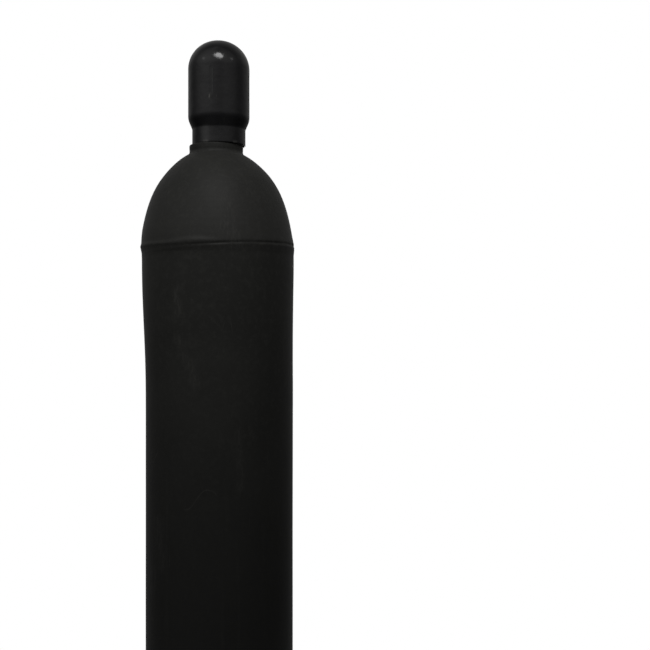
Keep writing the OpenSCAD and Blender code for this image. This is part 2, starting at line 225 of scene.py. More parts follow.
BODY_R = MOUNTS["body_band"]["dims"]["r_mm"]
DISH = (86, 24)  # radius and height of the hollow under the base
BASE_T = 13  # the base's thickness at the foot, and the radius inside where its bend starts
BASE_IN_R = 88
FOOT_OUT_R = 94
KNUCKLE_H = 32
SWELL_R = 122.5
SHOULDER_H = 178
SHOULDER_N = 2.117
COLLAR_R = 42.7
COLLAR_LIP = 1.35  # the collar stands this much higher under the cap, but not at its end towards +X
COLLAR_Z = RING_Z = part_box("neck_ring")[0].z / MM
SHOULDER_Z = COLLAR_Z - SHOULDER_H - 2.6
RIDGE_Z = SHOULDER_Z + 18
BEAD_H, GROOVE_DEPTH, SECOND_H = 1.5, 0.9, 0.35
BAND = (BODY_R + 3.4, RIDGE_Z - 12)  # radius and height of the body's swollen top
BLEND_Z = RIDGE_Z - 205
NECK_R = 33
NECK_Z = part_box("cylinder_shell")[1].z / MM
WALL_T = 6.4
BOW_X = 1.5  # the long body bows this far towards +X
# the hot-spun shoulder is closed off the body's axis: how far towards -X, from where, over what height
LEANS = [
    (BOW_X + 0.9, RIDGE_Z - 240, 190),
    (1.6, RIDGE_Z - 6, 34),
    (1.7, RIDGE_Z + 112, 46),
]
COLLAR_SHIFT = sum(far for far, _, _ in LEANS) - BOW_X
THROAT = (1.7, COLLAR_Z - 26, 28)  # depth, height and reach of the slight hollow under the collar
SLIM = 0.5  # the body is a little slimmer between its foot and its swell
FLATTER = (0.8, RIDGE_Z + 45, 40)  # depth, height and reach of a flatter zone over the ridge


def knuckle(inner_r, outer_r, low, angles):
    """The quarter-elliptic bend from the base at the height low up to the wall."""
    z = low + KNUCKLE_H * (1 - np.cos(angles))
    return np.stack([inner_r + (outer_r - inner_r) * np.sin(angles), z], -1)


def shell_outside():
    """From the middle of the hollow under the base, round the foot and up to the top of the neck."""
    dish = bow(*DISH, 2, sweep(90, 0, 25))
    dish[-1] = (DISH[0] - 0.5, 1.2)
    foot = path([DISH[0] + 0.6, 0.2], [DISH[0] + 1.6, 0], [DISH[0] + 4, 0], [FOOT_OUT_R - 1.5, 0])
    bend = knuckle(FOOT_OUT_R, BODY_R, 0, sweep(0, 90, 17))
    body = line((BODY_R, KNUCKLE_H), (BODY_R, BLEND_Z), 150, False)
    z = np.linspace(BLEND_Z, BAND[1], 34)[1:]
    blend = np.stack([BODY_R + (BAND[0] - BODY_R) * ease((z - BLEND_Z) / (BAND[1] - BLEND_Z)), z], -1)
    t0 = math.asin((18 / SHOULDER_H) ** (SHOULDER_N / 2))
    t_near = math.asin((36 / SHOULDER_H) ** (SHOULDER_N / 2))
    fillet, slope = 8, 30
    end_r = COLLAR_R + fillet * (1 - math.sin(math.radians(slope)))
    t1 = math.acos((end_r / SWELL_R) ** (SHOULDER_N / 2))
    first = bow(SWELL_R, SHOULDER_H, SHOULDER_N, [t0])[0] + (0, SHOULDER_Z)
    under = line(BAND, first, 16, False)
    t = np.concatenate([np.linspace(t0, t_near, 22)[1:], np.linspace(t_near, t1, 70)[1:]])
    shoulder = bow(SWELL_R, SHOULDER_H, SHOULDER_N, t) + (0, SHOULDER_Z)
    centre_z = shoulder[-1, 1] + fillet * math.cos(math.radians(slope))
    collar = path(
        arc((COLLAR_R + fillet, centre_z), fillet, 180 + 90 - slope, 180, 8)[1:],
        line((COLLAR_R, centre_z + 0.6), (COLLAR_R, COLLAR_Z - 1.3), 5),
        arc((COLLAR_R - 1.3, COLLAR_Z - 1.3), 1.3, 22, 90, 4),
        line((COLLAR_R - 1.7, COLLAR_Z), (COLLAR_R - 2.4, COLLAR_Z), 2),
        line((COLLAR_R - 2.8, COLLAR_Z), (NECK_R + 0.4, COLLAR_Z), 4), [NECK_R, COLLAR_Z + 0.4])
    lip_z = NECK_Z - 1.6
    lip = path([NECK_R, lip_z - 1.2], [NECK_R + 1.2, lip_z], [NECK_R + 1.2, NECK_Z - 0.4],
               [NECK_R + 0.8, NECK_Z], [18, NECK_Z])
    return path(dish, foot, bend, body, blend, under, shoulder, collar, lip)


def shell_inside():
    """From the top of the neck's bore down to the middle of the base."""
    outer_r, inner_h = SWELL_R - WALL_T, SHOULDER_H - 2 * WALL_T
    bore = path([13.9, NECK_Z], [13.2, NECK_Z - 0.7], line((13.1, NECK_Z - 4), (12.45, NECK_Z - 24), 4))
    t1 = math.acos((15 / outer_r) ** (SHOULDER_N / 2))
    dome = bow(outer_r, inner_h, SHOULDER_N, np.linspace(t1, math.radians(4), 24)) + (0, SHOULDER_Z)
    side = path([BAND[0] - WALL_T, BAND[1]],
                line((BODY_R - WALL_T, BLEND_Z), (BODY_R - WALL_T, BASE_T + KNUCKLE_H), 12))
    bend = knuckle(BASE_IN_R, BODY_R - WALL_T, BASE_T, sweep(90, 0, 9)[1:])
    base = bow(*DISH, 2, sweep(10, 90, 9)) + (0, 10)
    return path(bore, dome, side, bend, base)


def lean(z, inside):
    """How far the shell's axis lies towards -X at the height z."""
    out = -BOW_X * ease((z - 40) / 300)
    for far, start, over in LEANS:
        out = out + far * ease((z - start) / over)
    return out * (1 - ease((z - COLLAR_Z + 40) / 30) * inside)


def ridge_height(theta):
    """The line where the spun shoulder starts wanders up and down round the cylinder."""
    return RIDGE_Z + wave(theta, [(1, 3.0, 0), (2, 0.7, 0.8), (3, 0.5, 2.1), (5, 0.25, 0.3)])


def from_front(theta):
    """The angle from the camera's side, below 0 towards -X."""
    return (theta - 0.75 * TAU + math.pi) % TAU - math.pi


def ridge_sides(theta):
    """How much of the ridge is a raised lip, and how much a lapped groove. They change over at the front."""
    front = from_front(theta)
    lipped = ease((0.22 - front) / 0.5) * ease((front + 2.6) / 0.6)
    lapped = ease((front + 0.40) / 0.5) * ease((2.0 - front) / 0.6)
    return 0.12 + 0.88 * lipped, 0.14 + 0.86 * lapped


def ridge_relief(theta, s, lipped, lapped):
    """The ridge, s above its line: a bead swollen near the front, a groove under it and a second swell."""
    swollen = bell(from_front(theta) + 0.22, 0.2)
    crest = 3.4 + 2.6 * swollen
    bead = lipped * (0.85 + 0.45 * swollen) * bell(s - crest, np.where(s > crest, 3.2 + 1.2 * swollen, 8.0))
    uneven = 1 + wave(theta, [(9, 0.25, 0.7), (23, 0.2, 2.0), (41, 0.15, 0.4)])
    groove = lapped * uneven * bell(s + 0.2, 1.9)
    second = lipped * bell(s + 11 - 8 * np.cos(theta + 1.3), 3.0)
    return BEAD_H * bead - GROOVE_DEPTH * groove + SECOND_H * second


SCUFFS = [  # on the front: start (x, z), end (x, z), half width and strength of each rubbed place
    ((-51, 1118), (-49, 1084), 4, 0.9),
    ((-50, 1046), (-22, 976), 3, 0.8),
    ((38, 905), (44, 820), 4, 0.5),
    ((-86, 770), (-80, 700), 5, 0.5),
]


def scuffed(x, y, z):
    """How far each point lies in one of the rubbed places on the front."""
    most = 0 * x
    for start, end, width, strength in SCUFFS:
        (x0, z0), (x1, z1) = start, end
        dx, dz = x1 - x0, z1 - z0
        along = np.clip(((x - x0) * dx + (z - z0) * dz) / (dx ** 2 + dz ** 2), 0, 1)
        apart = np.hypot(x - x0 - along * dx, z - z0 - along * dz)
        most = np.maximum(most, strength * bell(apart, width + 3))
    return most * (y < 0)


def make_shell():
    outer = shell_outside()
    profile = path(outer, shell_inside())
    profile[0, 0] = profile[-1, 0] = 0
    rows_outside = len(outer) - 1
    neck_row = int(np.argmax(outer[:, 1] >= COLLAR_Z - 1e-6))  # first row of the collar's flat top
    kept = {}

    def shape(r, z, theta, row):
        inside = row >= rows_outside
        near = 1 - inside  # 1 on the outside only
        x, y = r * np.cos(theta), r * np.sin(theta)
        spin = near * ease((z - RIDGE_Z) / 20) * ease((COLLAR_Z - 12 - z) / 40)
        body = near * ease((z - 60) / 200)
        s = z - ridge_height(theta)
        lipped, lapped = ridge_sides(theta)
        r = r + near * ridge_relief(theta, s, lipped, lapped)
        # the spinning tool's faint rings and the body's slow unevenness
        r = r + 0.04 * spin * np.sin(z / 5.3 + 0.6 * np.sin(theta + 1) + 0.02 * z * np.sin(z / 40))
        # the hollow, flatter and slimmer places
        depth, middle_z, reach = THROAT
        r = r - near * depth * bell(z - middle_z, reach) * ease((COLLAR_Z - 4 - z) / 12)
        depth, middle_z, reach = FLATTER
        r = r - near * depth * bell(z - middle_z, reach)
        r = r - near * SLIM * ease((z - 60) / 200) * ease((RIDGE_Z - 150 - z) / 150)
        r = r + 0.18 * body * wave(theta, [(2, 1, 0.4), (3, 0.6, z / 190), (5, 0.35, z / 90 + 1)])
        r = r + 0.12 * body * np.sin(z / 61 + 2 * np.sin(theta)) * np.cos(2 * theta + z / 150)
        shift = lean(z, inside)
        on_top = (row + 1 >= neck_row) & ~inside
        shift = np.where(on_top, COLLAR_SHIFT * ease((r - NECK_R - 1.4) / (COLLAR_R - 4 - NECK_R)), shift)
        raised = near * ease((z - COLLAR_Z + 2.4) / 1.1) * ease((r - COLLAR_R + 2.6) / 0.4)
        z = z + COLLAR_LIP * raised * ease((0.93 - np.cos(theta)) / 0.2) * (r < COLLAR_R + 1)
        kept["edge"] = near * lipped * bell(s - 3.2, 2.2)
        kept["scuff"] = near * scuffed(x, y, z)
        kept["foot"] = near * np.maximum(bell(np.maximum(z - 2, 0), 7), 0.46 * bell(z, 60))
        kept["collar"] = near * bell(z - COLLAR_Z, 1.6) * bell(r - COLLAR_R, 2.2)
        kept["spin"] = spin
        # painted light: a paler band on the shoulder above the ridge, where the key light's broad sheen falls
        kept["shoulder_painted_light"] = near * ease((s - 1) / 9) * (1 - ease((s - 20) / 90))
        kept["inside"] = inside + 0 * z
        return r, z, shift

    points, faces = turned(profile, 200, shape)
    fields = {k: np.append(v.reshape(-1), [0, float(k == "inside")]) for k, v in kept.items()}
    return make_piece("steel_shell", points, faces, "cylinder", "cylinder_shell", 40, fields)


# ---- the neck ring

CAP_PITCH = 2.309
RING_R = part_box("neck_ring")[1].x / MM
RING_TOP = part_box("neck_ring")[1].z / MM


def make_neck_ring():
    root, ridge, inner = RING_R - 1.2, 1.2, NECK_R + 0.05
    low, high = RING_Z + 1.2, RING_TOP - 1.8
    lip_z = NECK_Z - 1.6
    steps = int((high - low) / CAP_PITCH * 8)
    profile = path([inner, RING_Z], [root - 0.8, RING_Z], [root, RING_Z + 0.5],
                   line((root, low), (root, high), steps),
                   [root - 0.1, RING_TOP - 0.9], [root - 0.8, RING_TOP], [inner + 1.4, RING_TOP],
                   [inner + 1.2, RING_TOP - 0.3], [inner + 1.2, lip_z - 0.2], [inner, lip_z - 1.4])

    crests = []

    def shape(r, z, theta, row):
        outer = (row >= 3) & (row < 4 + steps)
        crest = np.where(outer, 1 - thread_depth(z, theta, CAP_PITCH, low, high), 0)
        crests.append(crest.reshape(-1))
        return r + ridge * crest, z, 0

    points, faces = turned(profile, 160, shape)
    fields = {"edge": crests[0]}
    return make_piece("threaded_neck_ring", points, faces, "cylinder", "neck_ring", 50, fields)


# ---- the protection cap

CAP_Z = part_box("protection_cap")[0].z / MM
CAP_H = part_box("protection_cap")[1].z / MM - CAP_Z
CAP_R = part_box("protection_cap")[1].x / MM
SKIRT_R = 42.5
SKIRT_H = 26
CAP_T = 3.4
CAP_DOME_Z = CAP_H - 48  # height above the underside where the dome starts
DOME_H = 46.25
DOME_N = 2.02
TAPER = math.radians(22.8)
TAPER_FILLET = 25
TAPER_TOP = SKIRT_H + (CAP_R - SKIRT_R) / math.tan(TAPER) + TAPER_FILLET * math.tan(TAPER / 2)
CAP_THREAD_R = 39.9
CAP_ROOT = 1.1
CAP_THREAD_H = 22
VENT_HALF_W = 6.3
VENT_H = 48
VENT_TOP = CAP_DOME_Z - 5  # the two vents are on the sides, towards +X and -X
CAP_COLUMNS = 224
VENT_COLUMNS = 9  # columns on each side of a vent's middle that its patch takes up
PATCH_LOW = VENT_TOP - VENT_H - 8
PATCH_TOP = VENT_TOP + 8
EDGE_R = 1.1  # rounding of the vents' edges


def dome_r(h, radius, height):
    return radius * (1 - (np.clip(h - CAP_DOME_Z, 0, height) / height) ** DOME_N) ** (1 / DOME_N)


def cap_profile():
    """The cap's wall from the inside of the crown, down, round the skirt's rim and up to the crown's outside.

    Heights are above the cap's underside. Returns the profile, the rows of the inner thread, and the two
    runs of rows, inner and outer, that share the same heights in the vents' patches.
    """
    inner_r, inner_dome = CAP_R - CAP_T, DOME_H - CAP_T
    inner_fillet = TAPER_FILLET - CAP_T
    taper_r = CAP_R - TAPER_FILLET + inner_fillet * math.cos(TAPER)
    taper_z = TAPER_TOP - inner_fillet * math.sin(TAPER)
    top_z = taper_z - (taper_r - CAP_THREAD_R) / math.tan(TAPER)
    patch = np.linspace(PATCH_LOW, PATCH_TOP, 31)
    low_inner = path(arc((CAP_R - TAPER_FILLET, TAPER_TOP), inner_fillet, 0, -math.degrees(TAPER), 8),
                     line((taper_r, taper_z), (CAP_THREAD_R + 0.3, top_z + 0.7), 3, False),
                     [CAP_THREAD_R, top_z - 0.2])
    thread_rows = int(CAP_THREAD_H / CAP_PITCH * 8)
    thread = line((CAP_THREAD_R, CAP_THREAD_H + 1), (CAP_THREAD_R, 1.2), thread_rows)
    rim = path([CAP_THREAD_R + 0.9, 0.3], [CAP_THREAD_R + 1.2, 0], [SKIRT_R - 0.9, 0],
               arc((SKIRT_R - 0.9, 0.9), 0.9, -60, 0, 3))
    corner = 9  # the skirt runs into the taper in a soft forged corner
    reach = corner * math.tan(TAPER / 2)
    skirt = path(line((SKIRT_R, 2), (SKIRT_R, SKIRT_H - reach), 9),
                 arc((SKIRT_R + corner, SKIRT_H - reach), corner, 180, 180 - math.degrees(TAPER), 7)[1:])
    upper = arc((CAP_R - TAPER_FILLET, TAPER_TOP), TAPER_FILLET, -math.degrees(TAPER), 0, 10)
    taper = line(skirt[-1], upper[0], 4, False)[:-1]
    barrel_low = line((CAP_R, TAPER_TOP), (CAP_R, PATCH_LOW), 12, False)[:-1]

    def crown(radius, height):
        first = math.asin(((PATCH_TOP - CAP_DOME_Z) / height) ** (DOME_N / 2))
        t = np.linspace(first, math.pi / 2, 25)[1:]
        return bow(radius, height, DOME_N, t) + (0, CAP_DOME_Z)

    inner_patch = np.stack([dome_r(patch, inner_r, inner_dome), patch], -1)
    outer_patch = np.stack([dome_r(patch, CAP_R, DOME_H), patch], -1)
    inner_barrel = line((inner_r, PATCH_LOW), (inner_r, TAPER_TOP), 6, False)[:-1]
    head = path(crown(inner_r, inner_dome)[::-1], inner_patch[::-1])
    middle = path(inner_barrel, low_inner)
    first_thread = len(head) + len(middle)
    tail = path(thread, rim, skirt, taper, upper, barrel_low)
    first_outer = first_thread + len(tail)
    profile = path(head, middle, tail, outer_patch, crown(CAP_R, DOME_H))
    inner_run = list(range(len(head) - 1, len(head) - len(patch) - 1, -1))
    outer_run = list(range(first_outer, first_outer + len(patch)))
    return profile, (first_thread, first_thread + len(thread)), inner_run, outer_run


def vent_loops(inner_run, outer_run):
    """For each vent the (inner, outer) outlines of its patches, and the cells of the grid inside them all."""
    gone, loops = set(), []
    for side in range(2):
        middle = side * CAP_COLUMNS // 2
        span = [(middle + k) % CAP_COLUMNS for k in range(-VENT_COLUMNS, VENT_COLUMNS + 1)]
        pair = []
        for run in (inner_run, outer_run):
            rows = [i - 1 for i in run]  # row 0 is the pole
            gone.update((r, c) for r in range(min(rows), max(rows)) for c in span[:-1])
            loop = [(rows[0], c) for c in span] + [(r, span[-1]) for r in rows[1:]]
            loop += [(rows[-1], c) for c in reversed(span[:-1])]
            loop += [(r, span[0]) for r in reversed(rows[1:-1])]
            pair.append([r * CAP_COLUMNS + c for r, c in loop])
        loops.append(pair)
    return loops, gone


def vent_rings(outer, inner):
    """Rings of points from one patch's outline, over the vent's rounded edges, to the other patch's outline.

    The outlines are (across, height) points, and the rings are (across, radial, height) points.
    """
    low_centre, high_centre = VENT_TOP - VENT_H + VENT_HALF_W, VENT_TOP - VENT_HALF_W
    centres = np.stack([0 * outer[:, 0], np.clip(outer[:, 1], low_centre, high_centre)], -1)
    directions = outer - centres
    directions /= np.linalg.norm(directions, axis=1)[:, None]

    def ring(offset, side, depth):
        """The vent's outline grown by offset, at a depth under the outer (side -1) or inner (1) wall."""
        radius, height = (CAP_R, DOME_H) if side < 0 else (CAP_R - CAP_T, DOME_H - CAP_T)
        flat = centres + directions * (VENT_HALF_W + offset)[:, None]
        surface = np.sqrt(np.maximum(dome_r(flat[:, 1], radius, height) ** 2 - flat[:, 0] ** 2, 0))
        return np.stack([flat[:, 0], surface + side * depth, flat[:, 1]], -1)

    def on_wall(outline, share, side):
        start = np.linalg.norm(outline - centres, axis=1) - VENT_HALF_W
        return ring(start * (1 - share) + EDGE_R * share, side, 0)

    def on_edge(angle, side):
        offset = EDGE_R * (1 - math.sin(angle)) + 0 * centres[:, 0]
        return ring(offset, side, EDGE_R * (1 - math.cos(angle)))

    return ([on_wall(outer, share, -1) for share in (0.2, 0.45, 0.68, 0.86)]
            + [on_edge(angle, -1) for angle in sweep(0, 90, 6)]
            + [on_edge(angle, 1) for angle in sweep(90, 0, 5)]
            + [on_wall(inner, share, 1) for share in (0.7, 0.35)])


def bridge(first, second):
    """Quads between two closed rings of point numbers."""
    count = len(first)
    return [(first[j], first[(j + 1) % count], second[(j + 1) % count], second[j]) for j in range(count)]


def make_cap():
    profile, thread_rows, inner_run, outer_run = cap_profile()
    profile[0, 0] = profile[-1, 0] = 0

    def shape(r, z, theta, row):
        threaded = (row + 1 >= thread_rows[0]) & (row + 1 < thread_rows[1])
        depth = thread_depth(z, theta, CAP_PITCH, 0.8, CAP_THREAD_H + 1)
        return r + np.where(threaded, CAP_ROOT * depth, 0), z, 0

    points, faces = turned(profile, CAP_COLUMNS, shape)
    inside = set(range((thread_rows[1] - 1) * CAP_COLUMNS)) | {len(points) - 2}
    # cut the patches out of both walls, and line each vent with rings from wall to wall
    loops, gone = vent_loops(inner_run, outer_run)
    cells = (len(profile) - 3) * CAP_COLUMNS
    faces = [f for i, f in enumerate(faces) if i >= cells or divmod(i, CAP_COLUMNS) not in gone]
    points = list(map(tuple, points))
    slot_edge = {}
    for side, (inner_loop, outer_loop) in enumerate(loops):
        turn = side * math.pi
        radial = np.array([math.cos(turn), math.sin(turn)])
        across = np.array([-math.sin(turn), math.cos(turn)])
        outlines = []
        for loop in (outer_loop, inner_loop):
            placed = np.array([points[i] for i in loop])
            outlines.append(np.stack([placed[:, :2] @ across, placed[:, 2]], -1))
        previous = outer_loop
        for n, ring in enumerate(vent_rings(*outlines)):
            placed = ring[:, :1] * across + ring[:, 1:2] * radial
            current = list(range(len(points), len(points) + len(ring)))
            points += [(x, y, z) for (x, y), z in zip(placed, ring[:, 2])]
            if 3 <= n <= 9:
                slot_edge.update((i, 1.0 if 5 <= n <= 8 else 0.4) for i in current)
            if n > 9:
                inside.update(current)
            faces += bridge(previous, current)
            previous = current
        faces += bridge(previous, inner_loop)
    used = sorted({i for f in faces for i in f})
    renumber = {old: new for new, old in enumerate(used)}
    placed = np.array([points[i] for i in used])
    faces = [tuple(renumber[i] for i in f) for f in faces]
    h, r = placed[:, 2], np.hypot(placed[:, 0], placed[:, 1])
    outside = r > CAP_THREAD_R + 0.1
    fields = {
        "edge": np.maximum([slot_edge.get(i, 0.0) for i in used], bell(h, 1.5) * outside),
        "skirt": bell(np.maximum(h - 1, 0), 6) * outside,
        "inside": [float(i in inside) for i in used],
    }
    placed[:, 2] += CAP_Z
    return make_piece("domed_cap", placed, faces, "cap", "protection_cap", 48, fields)


# ---- the valve

VALVE_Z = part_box("valve_body")[0].z / MM + 25.6  # underside of the valve's flats
OUTLET_AT = Vector(MOUNTS["valve_outlet"]["pos_m"]) / MM
OUTLET_R = MOUNTS["valve_outlet"]["dims"]["r_mm"]
OUTLET_DEPTH = MOUNTS["valve_outlet"]["dims"]["length_mm"]
OUTLET_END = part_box("valve_body")[1].x / MM
RELIEF_Z = VALVE_Z + 10
OUTLET_PITCH = 1.814
ACROSS_FLATS = 33
SHANK_H = 3  # the inlet shank reaches this far up into the forging


def solid(parts, name="solid"):
    """One mesh object of several turned (r, z) profiles, each placed by a matrix. Sizes in millimetres."""
    points, faces = [], []
    for profile, columns, place in parts:
        p, f = turned(profile, columns)
        faces += [tuple(i + len(points) for i in face) for face in f]
        points += moved(p, place).tolist()
    return new_object(name, points, faces)


def rod(radius, low, high):
    """The profile of a plain round bar."""
    return [(0, low), (radius, low), (radius, high), (0, high)]


UPRIGHT = Matrix.Translation((0, 0, VALVE_Z))
TO_OUTLET = Matrix.Translation((0, 0, OUTLET_AT.z)) @ Matrix.Rotation(math.radians(90), 4, "Y")
TO_RELIEF = Matrix.Translation((0, 0, RELIEF_Z)) @ Matrix.Rotation(math.radians(-90), 4, "Y")


def apply_modifiers(piece):
    """Turns the piece's modifiers into its mesh."""
    graph = bpy.context.evaluated_depsgraph_get()
    graph.update()
    mesh = bpy.data.meshes.new_from_object(piece.evaluated_get(graph))
    piece.modifiers.clear()
    old, piece.data = piece.data, mesh
    bpy.data.meshes.remove(old)


def cut(piece, cutter, operation="DIFFERENCE"):
    modifier = piece.modifiers.new("cut", "BOOLEAN")
    modifier.object, modifier.operation, modifier.solver = cutter, operation, "EXACT"
    apply_modifiers(piece)
    bpy.data.objects.remove(cutter)
    tiny = 0.01 * MM
    edit_mesh(piece.data,
              lambda bm: bmesh.ops.remove_doubles(bm, verts=bm.verts, dist=tiny),
              lambda bm: bmesh.ops.dissolve_degenerate(bm, edges=bm.edges, dist=tiny))


def cut_turned(piece, profile, place, operation="DIFFERENCE"):
    """Cuts one turned profile, placed by a matrix, out of the piece."""
    cut(piece, solid([(profile, 96, place)]), operation)


def inner_thread(radius, root, low, high, pitch):
    """A closed cutter with a helical ridge, which leaves a thread in the hole that it cuts."""
    steps = int((high - low) / pitch * 7)
    profile = path([0, low], [radius, low], line((radius, low + 0.3), (radius, high - 0.3), steps),
                   [radius, high], [0, high])

    def shape(r, z, theta, row):
        return r + thread_depth(z, theta, pitch, low, high - 0.5) * root, z, 0

    return turned(profile, 96, shape)


def add_shell(piece, other):
    """Adds the other object's mesh to the piece's, as one more closed shell."""
    edit_mesh(piece.data, lambda bm: bm.from_mesh(other.data))
    bpy.data.objects.remove(other)


def make_valve():
    """A forging: bosses blended into a round body, then bored, faced and threaded."""
    square = Matrix.Translation((0, 0, VALVE_Z)) @ Matrix.Rotation(math.radians(45), 4, "Z")
    corner_r = ACROSS_FLATS / 2 * math.sqrt(2) - 1.2
    body = solid([
        (rod(15.2, 4, 60), 96, UPRIGHT),  # the column
        (rod(17, 50, 60), 96, UPRIGHT),  # its wider top, under the bonnet nut
        (rod(15.6, 0, OUTLET_END + 2), 96, TO_OUTLET),
        (rod(9.4, 0, 27), 96, TO_RELIEF),
    ], "valve_forging")
    block = solid([(rod(corner_r, 0, 20), 4, square)])
    cut_turned(block, rod(19, -1, 21), UPRIGHT, "INTERSECT")
    add_shell(body, block)
    remesh = body.modifiers.new("melt", "REMESH")
    remesh.mode, remesh.voxel_size = "VOXEL", 0.62 * MM
    smooth = body.modifiers.new("blend", "SMOOTH")
    smooth.factor, smooth.iterations = 0.6, 9
    apply_modifiers(body)
    # machined faces: the top rim, the outlet's mouth, the relief port's face and the underside
    cut_turned(body, rod(40, 58, 80), UPRIGHT)
    cut_turned(body, rod(40, OUTLET_END, OUTLET_END + 20), TO_OUTLET)
    cut_turned(body, rod(20, 25, 40), TO_RELIEF)
    cut_turned(body, rod(40, -10, 0.02), UPRIGHT)
    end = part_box("valve_body")[0].z / MM - VALVE_Z
    shank = [(0, end), (11.9, end), (12.15, end + 0.6), (12.9, 0.5), (12.9, SHANK_H), (0, SHANK_H)]
    cut_turned(body, shank, UPRIGHT, "UNION")
    # bores: the inlet, the spindle's chamber with its seat, the outlet's stepped seat and the relief port
    cut_turned(body, [(0, end - 1), (3.5, end - 1), (3.5, 30), (0, 30)], UPRIGHT)
    cut_turned(body, [(0, 25.5), (3.5, 25.5), (5.2, 25.5), (5.2, 24), (9, 24), (9, 47), (12.5, 47),
                      (12.5, 57.6), (13, 58.2), (13, 62), (0, 62)], UPRIGHT)
    cut_turned(body, [(0, 5), (3, 5), (3, 13), (4.5, 13), (9.77, 20.2), (0, 20.2)], TO_OUTLET)
    cut_turned(body, [(0, 2), (2, 2), (2, 15), (6.4, 15), (6.4, 27), (0, 27)], TO_RELIEF)
    start = OUTLET_END - OUTLET_DEPTH
    points, faces = inner_thread(OUTLET_R - 1.05, 1.05, start, OUTLET_END - 0.9, OUTLET_PITCH)
    cut(body, new_object("tap", moved(points, TO_OUTLET), faces))
    mouth = [(0, OUTLET_END - 1.1), (OUTLET_R - 0.1, OUTLET_END - 1.1), (OUTLET_R + 1, OUTLET_END + 0.1),
             (OUTLET_R + 1, OUTLET_END + 1), (0, OUTLET_END + 1)]
    cut_turned(body, mouth, TO_OUTLET)
    return settle_piece(body, "cylinder", "valve_body", 32)


# ---- the handwheel and its spring

WHEEL_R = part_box("handwheel")[1].x / MM
WHEEL_HUB_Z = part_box("handwheel")[0].z / MM
WHEEL_TOP_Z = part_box("handwheel")[1].z / MM
WHEEL_T = 11
LOBES = 7
LOBE_R = 7.5


def wheel_outline(theta):
    """Radius of the lobed rim at each angle, with its hollows rounded as a casting's are."""
    turn = (theta * LOBES / TAU + 0.5) % 1 - 0.5
    angle = turn * TAU / LOBES
    middle = WHEEL_R - LOBE_R
    inside = LOBE_R ** 2 - (middle * np.sin(angle)) ** 2
    r = np.where(inside > 0, middle * np.cos(angle) + np.sqrt(np.maximum(inside, 0)), 0)
    r = np.maximum(r, WHEEL_R - 3.5)
    for _ in range(6):
        r = (np.roll(r, 1) + 2 * r + np.roll(r, -1)) / 4
    return r


def make_handwheel():
    columns = LOBES * 32
    theta = np.arange(columns) * TAU / columns
    rim = wheel_outline(theta)
    square = 3.25 / np.maximum(abs(np.cos(theta)), abs(np.sin(theta)))
    hub, pocket, corner = 11, 8.2, 3.2
    bottom, low, top = WHEEL_HUB_Z, WHEEL_TOP_Z - WHEEL_T, WHEEL_TOP_Z
    web, inner, floor = low + 4.5, WHEEL_R - 10, low + 3
    rising = sweep(0, 90, 7)
    falling = rising[::-1]
    outline = [  # (radius, z), or with a quarter round there: how far it goes out and up, and its angles
        (square, bottom), (hub - 0.7, bottom), (hub, bottom + 0.7), (hub, low - 1.5),
        (hub, low, 1.5, -1.5, falling), (17, low),
        (rim, low, -corner, corner, rising), (rim + 0.25, (low + top) / 2),
        (rim, top, -corner, -corner, falling), (inner + 1.6, top),
        (inner, top, 1.6, -1.6, rising[1:]), (inner, web + 2),
        (inner, web, -2, 2, falling[1:]), (16.2, web),
        (hub, web, 2, 2, rising), (hub, top - 0.8), (hub - 0.8, top),
        (pocket + 0.5, top), (pocket, top - 0.5), (pocket, floor), (square, floor),
    ]
    rows = []
    for radius, z, *bend in outline:
        out, up, angles = bend or (0, 0, [0])
        rows += [(radius + out * (1 - math.sin(a)), z + up * (1 - math.cos(a))) for a in angles]
    points = np.concatenate([polar(r, theta, z) for r, z in rows])
    wheel = new_object("lobed_handwheel", points, grid_faces(len(rows), columns, wrap_rows=True))
    hole_at = Matrix.Translation(((hub + inner) / 2, 0, 0))
    hole = rod(3.2, low - 2, web + 2)
    turns = [Matrix.Rotation((i + 0.5) * TAU / LOBES, 4, "Z") for i in range(LOBES)]
    cut(wheel, solid([(hole, 40, turn @ hole_at) for turn in turns]))
    return settle_piece(wheel, "spindle", "handwheel", 38)


def make_spring():
    """A round wire wound into a helix, with its ends ground flat."""
    low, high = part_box("wheel_spring")
    wire, coil_r, turns = 0.8, 6.3, 3.25
    sides, per_turn = 16, 40
    count = int(turns * per_turn) + 1
    a = np.linspace(0, turns * TAU, count)
    z = np.interp(a, [0, a[-1]], [low.z / MM + wire, high.z / MM - wire])
    b = np.arange(sides) * TAU / sides
    r = coil_r + wire * np.cos(b)[None, :]
    points = polar(r, a[:, None], z[:, None] + wire * np.sin(b)[None, :]).reshape(-1, 3)
    points[:, 2] = np.clip(points[:, 2], low.z / MM + 0.12, high.z / MM - 0.12)
    faces = [tuple(f) for f in grid_faces(count, sides)]
    faces += [tuple(range(sides)), tuple(reversed(range((count - 1) * sides, count * sides)))]
    return make_piece("coil_spring", points, faces, "spindle", "wheel_spring", 50)


# ---- materials

